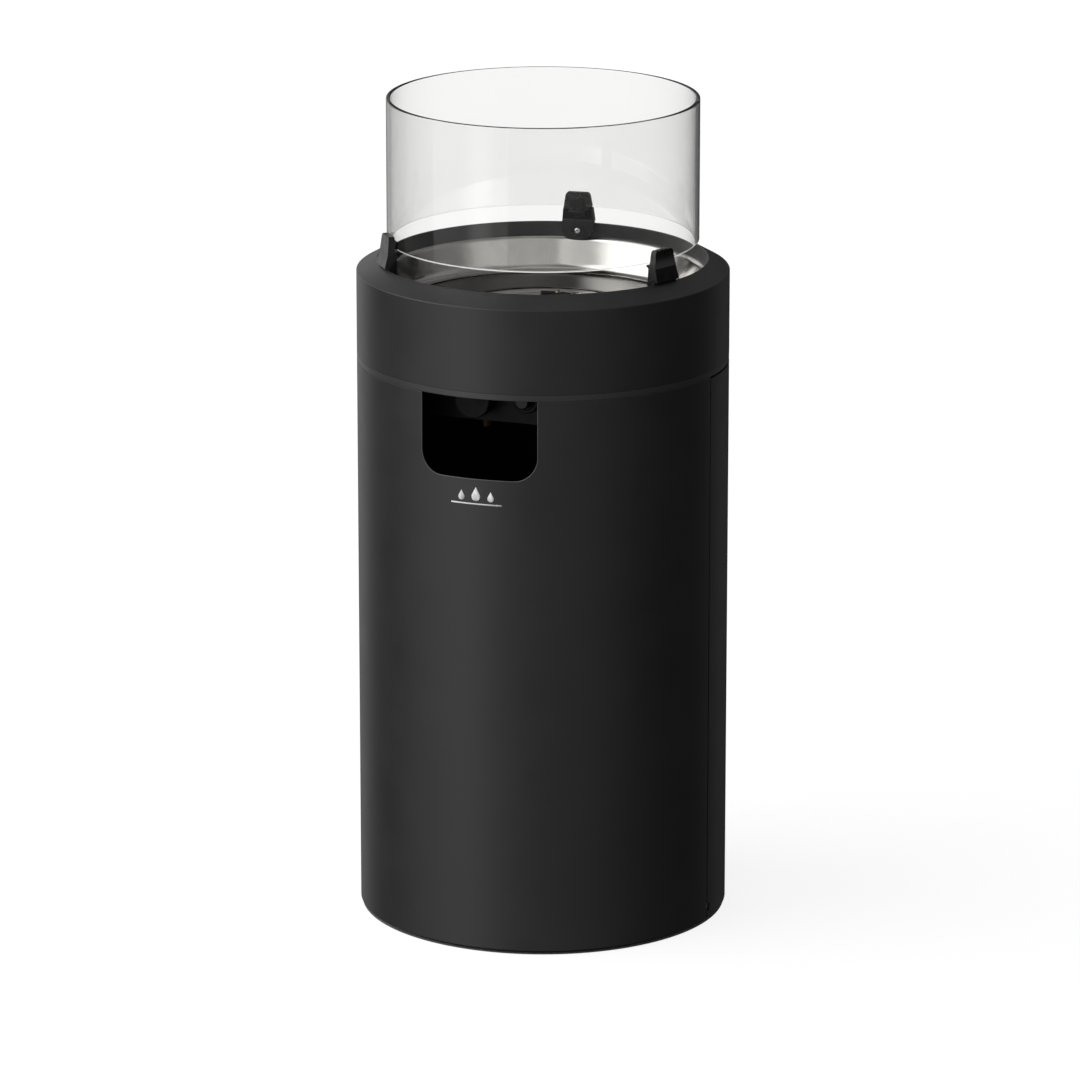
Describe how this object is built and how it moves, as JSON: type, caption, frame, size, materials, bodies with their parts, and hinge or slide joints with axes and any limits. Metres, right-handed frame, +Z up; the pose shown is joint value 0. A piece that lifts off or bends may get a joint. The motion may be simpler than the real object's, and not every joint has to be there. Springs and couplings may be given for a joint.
{
  "type": "patio gas fire column",
  "caption": "Round steel column with a glass chimney on clips, a polished burner bowl in its collar, a hand opening in front and a bottle door behind.",
  "frame": {"origin": "on the floor, on the column's axis", "axes": "+Z up along the column's axis; -Y is the front, where the hand opening and the controls are; +X is the hinge side of the door"},
  "size_m": [0.365, 0.365, 0.816],
  "materials": {
    "powder_coat": "fine satin powder coat, dark graphite",
    "band_coat": "satin powder coat, slightly lighter",
    "emblem_print": "white inlay",
    "zinc_steel": "zinc-plated sheet",
    "bright_steel": "bright plated fasteners",
    "polished_stainless": "spun and polished stainless steel",
    "burner_steel": "heat-tinted stainless steel",
    "black_enamel": "gloss black enamel",
    "black_nylon": "moulded, light texture",
    "button_black": "moulded gloss",
    "rubber": "matt moulded rubber",
    "silicone": "translucent grey silicone",
    "clear_glass": "clear, fire-polished rims",
    "brass": "machined brass",
    "copper": "drawn copper tube",
    "ceramic": "glazed ceramic"
  },
  "bodies": {
    "column": {"front_shell": "powder_coat", "collar": "powder_coat", "joint_ring": "band_coat", "emblem": "emblem_print", "shell_tabs": "zinc_steel", "collar_brackets": "zinc_steel", "base_plate": "zinc_steel", "bottle_stops": "zinc_steel", "hinge_post": "zinc_steel", "latch_post": "zinc_steel", "lower_pivot": "zinc_steel", "heat_shield": "zinc_steel", "shield_standoffs": "zinc_steel", "bowl_supports": "zinc_steel", "injector_bridge": "zinc_steel", "ring_screws": "bright_steel", "collar_screws": "bright_steel", "foot_screws": "bright_steel", "shield_screws": "bright_steel", "clip_screws": "bright_steel", "igniter_bezel": "bright_steel", "electrode_wire": "bright_steel", "reflector_bowl": "polished_stainless", "pan_ring": "polished_stainless", "centre_plate": "polished_stainless", "burner_cup": "polished_stainless", "burner_grille": "burner_steel", "mixing_tube": "burner_steel", "flame_sensor": "burner_steel", "pilot_hood": "black_enamel", "control_bracket": "black_enamel", "glass_clip_rear": "black_nylon", "glass_clip_left": "black_nylon", "glass_clip_right": "black_nylon", "igniter_housing": "black_nylon", "magnet_catch": "black_nylon", "foot_ring": "rubber", "clip_pads": "silicone", "valve_body": "brass", "valve_nut": "brass", "gas_inlet": "brass", "gas_jet": "brass", "injector_holder": "brass", "pipe_nuts": "brass", "feed_pipe": "copper", "electrode_insulator": "ceramic"},
    "door": {"door_panel": "powder_coat", "pull_cup": "black_nylon", "door_edge": "zinc_steel", "door_pins": "bright_steel", "pivot_washer": "brass", "strike_plate": "zinc_steel", "door_rib_lower": "zinc_steel", "door_rib_upper": "zinc_steel"},
    "glass": {"glass_cylinder": "clear_glass"},
    "tap_spindle": {"valve_spindle": "bright_steel"},
    "knob": {"control_knob": "black_nylon", "knob_pointer": "emblem_print"},
    "igniter": {"igniter_button": "button_black"}
  },
  "joints": [
    {"name": "door_hinge", "type": "hinge", "parent": "column", "child": "door", "pos_m": [0.17557, -0.01228, 0], "axis": [0, 0, -1], "range_deg": [0, 95]},
    {"name": "glass_lift", "type": "slide", "parent": "column", "child": "glass", "axis": [0, 0, 1], "range_m": [0, 0.15]},
    {"name": "knob_push", "type": "slide", "parent": "column", "child": "tap_spindle", "axis": [0, 1, 0], "range_m": [0, 0.004], "stiffness_N_per_m": 800},
    {"name": "knob_turn", "type": "hinge", "parent": "tap_spindle", "child": "knob", "pos_m": [-0.018, -0.14, 0.545], "axis": [0, -1, 0], "range_deg": [0, 180]},
    {"name": "igniter_press", "type": "slide", "parent": "column", "child": "igniter", "axis": [0, 1, 0], "range_m": [0, 0.006], "stiffness_N_per_m": 600}
  ]
}
